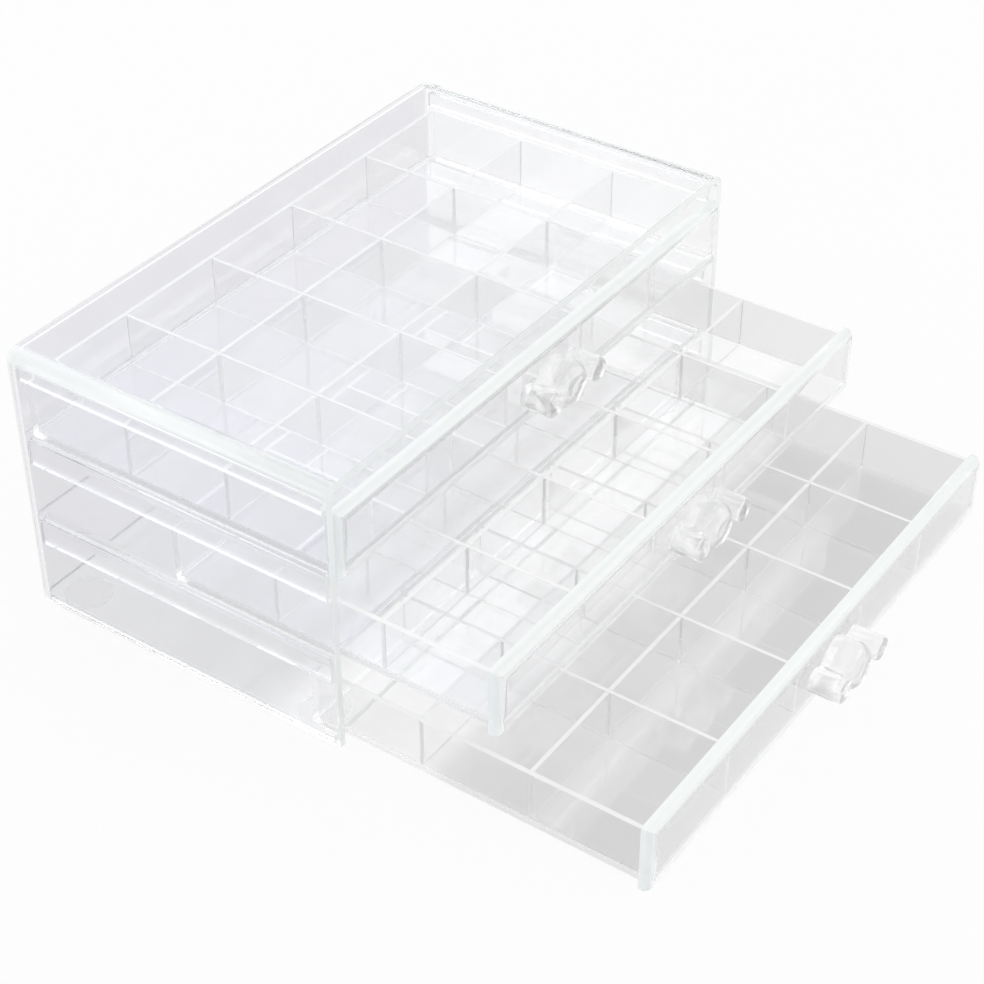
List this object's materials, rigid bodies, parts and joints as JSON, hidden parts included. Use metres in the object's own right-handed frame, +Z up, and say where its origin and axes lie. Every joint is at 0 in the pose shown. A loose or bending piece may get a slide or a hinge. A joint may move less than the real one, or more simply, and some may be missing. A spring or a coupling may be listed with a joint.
{
  "type": "drawer organizer",
  "caption": "Clear low case with flat pull-out drawers, each split into a grid of small open compartments and opened by a lobed knob in the middle of its front.",
  "frame": {"origin": "on the surface that the feet stand on, under the middle of the case", "axes": "+Z up, +Y towards the back of the case, the drawers pull out along -Y, +X to the right seen from the front"},
  "size_m": [0.235, 0.2648, 0.1066],
  "materials": {
    "clear_case": "clear moulded acrylic, polished",
    "clear_shelf": "clear moulded acrylic, polished, a faint cool tint in the edges",
    "clear_tray": "clear moulded acrylic, polished",
    "clear_divider": "clear acrylic strip with bright edges",
    "clear_front": "thick clear acrylic with polished rounded edges",
    "clear_knob": "solid clear acrylic moulding",
    "clear_foot": "soft clear pad"
  },
  "bodies": {
    "case": {"case_shell": "clear_case", "base_plate": "clear_shelf", "lower_shelf": "clear_shelf", "upper_shelf": "clear_shelf", "left_top_guide": "clear_shelf", "right_top_guide": "clear_shelf", "corner_feet": "clear_foot"},
    "bottom_drawer": {"bottom_tray": "clear_tray", "bottom_front_panel": "clear_front", "bottom_knob": "clear_knob", "bottom_long_divider_1": "clear_divider", "bottom_long_divider_2": "clear_divider", "bottom_long_divider_3": "clear_divider", "bottom_long_divider_4": "clear_divider", "bottom_cross_divider_1": "clear_divider", "bottom_cross_divider_2": "clear_divider"},
    "middle_drawer": {"middle_tray": "clear_tray", "middle_front_panel": "clear_front", "middle_knob": "clear_knob", "middle_long_divider_1": "clear_divider", "middle_long_divider_2": "clear_divider", "middle_long_divider_3": "clear_divider", "middle_long_divider_4": "clear_divider", "middle_cross_divider_1": "clear_divider", "middle_cross_divider_2": "clear_divider"},
    "top_drawer": {"top_tray": "clear_tray", "top_front_panel": "clear_front", "top_knob": "clear_knob", "top_long_divider_1": "clear_divider", "top_long_divider_2": "clear_divider", "top_long_divider_3": "clear_divider", "top_long_divider_4": "clear_divider", "top_cross_divider_1": "clear_divider", "top_cross_divider_2": "clear_divider"}
  },
  "joints": [
    {"name": "bottom_drawer_slide", "type": "slide", "parent": "case", "child": "bottom_drawer", "axis": [0, -1, 0], "range_m": [-0.1146, 0.0034]},
    {"name": "middle_drawer_slide", "type": "slide", "parent": "case", "child": "middle_drawer", "axis": [0, -1, 0], "range_m": [-0.0591, 0.0589]},
    {"name": "top_drawer_slide", "type": "slide", "parent": "case", "child": "top_drawer", "axis": [0, -1, 0], "range_m": [0, 0.118]}
  ]
}
